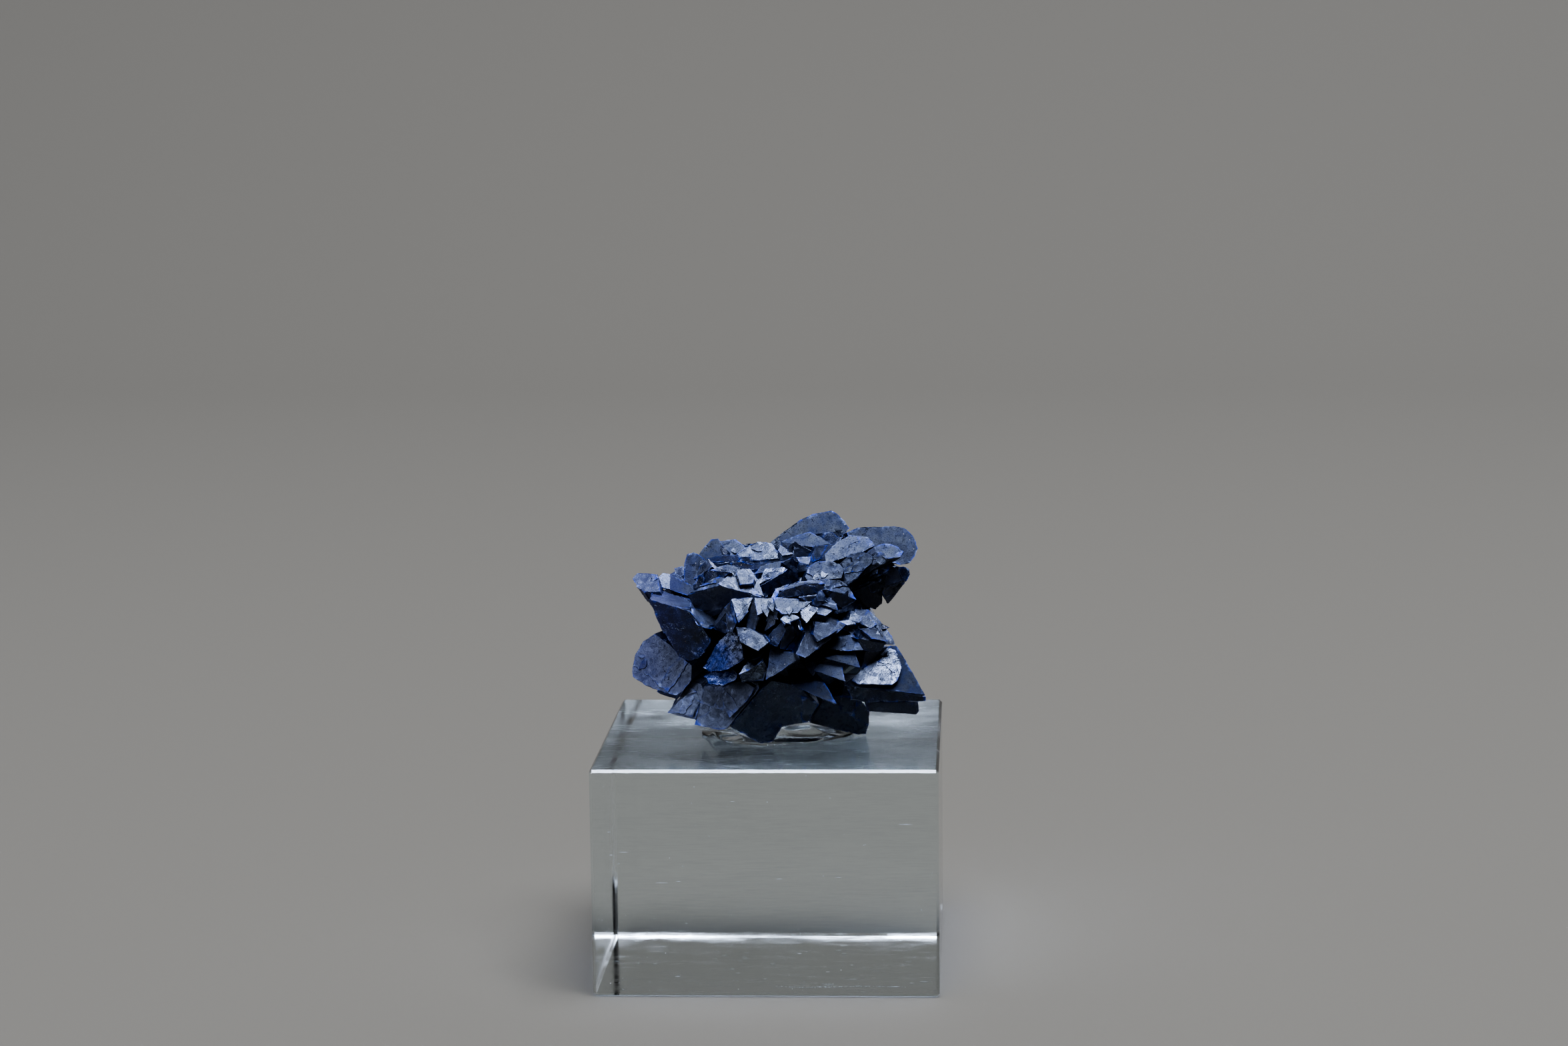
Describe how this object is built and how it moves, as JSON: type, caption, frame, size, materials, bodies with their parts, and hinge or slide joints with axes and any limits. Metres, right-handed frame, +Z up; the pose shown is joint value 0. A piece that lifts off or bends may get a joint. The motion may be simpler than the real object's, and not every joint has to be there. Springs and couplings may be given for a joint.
{
  "type": "azurite specimen",
  "caption": "Rosette of grown-together wedge-edged deep blue azurite crystals, held with clear gel on a clear acrylic display block.",
  "frame": {"origin": "middle of the underside of the clear block", "axes": "+Z up, +X to the right as the specimen is shown, +Y away from the viewer to its back"},
  "size_m": [0.0382, 0.0382, 0.0501],
  "materials": {
    "azurite": "frosted growth faces over glassy deep blue crystal",
    "gel": "wet, clear",
    "acrylic": "polished, lightly scratched, clear"
  },
  "bodies": {
    "root": {"azurite_cluster": "azurite", "museum_gel": "gel", "acrylic_block": "acrylic"}
  },
  "joints": []
}
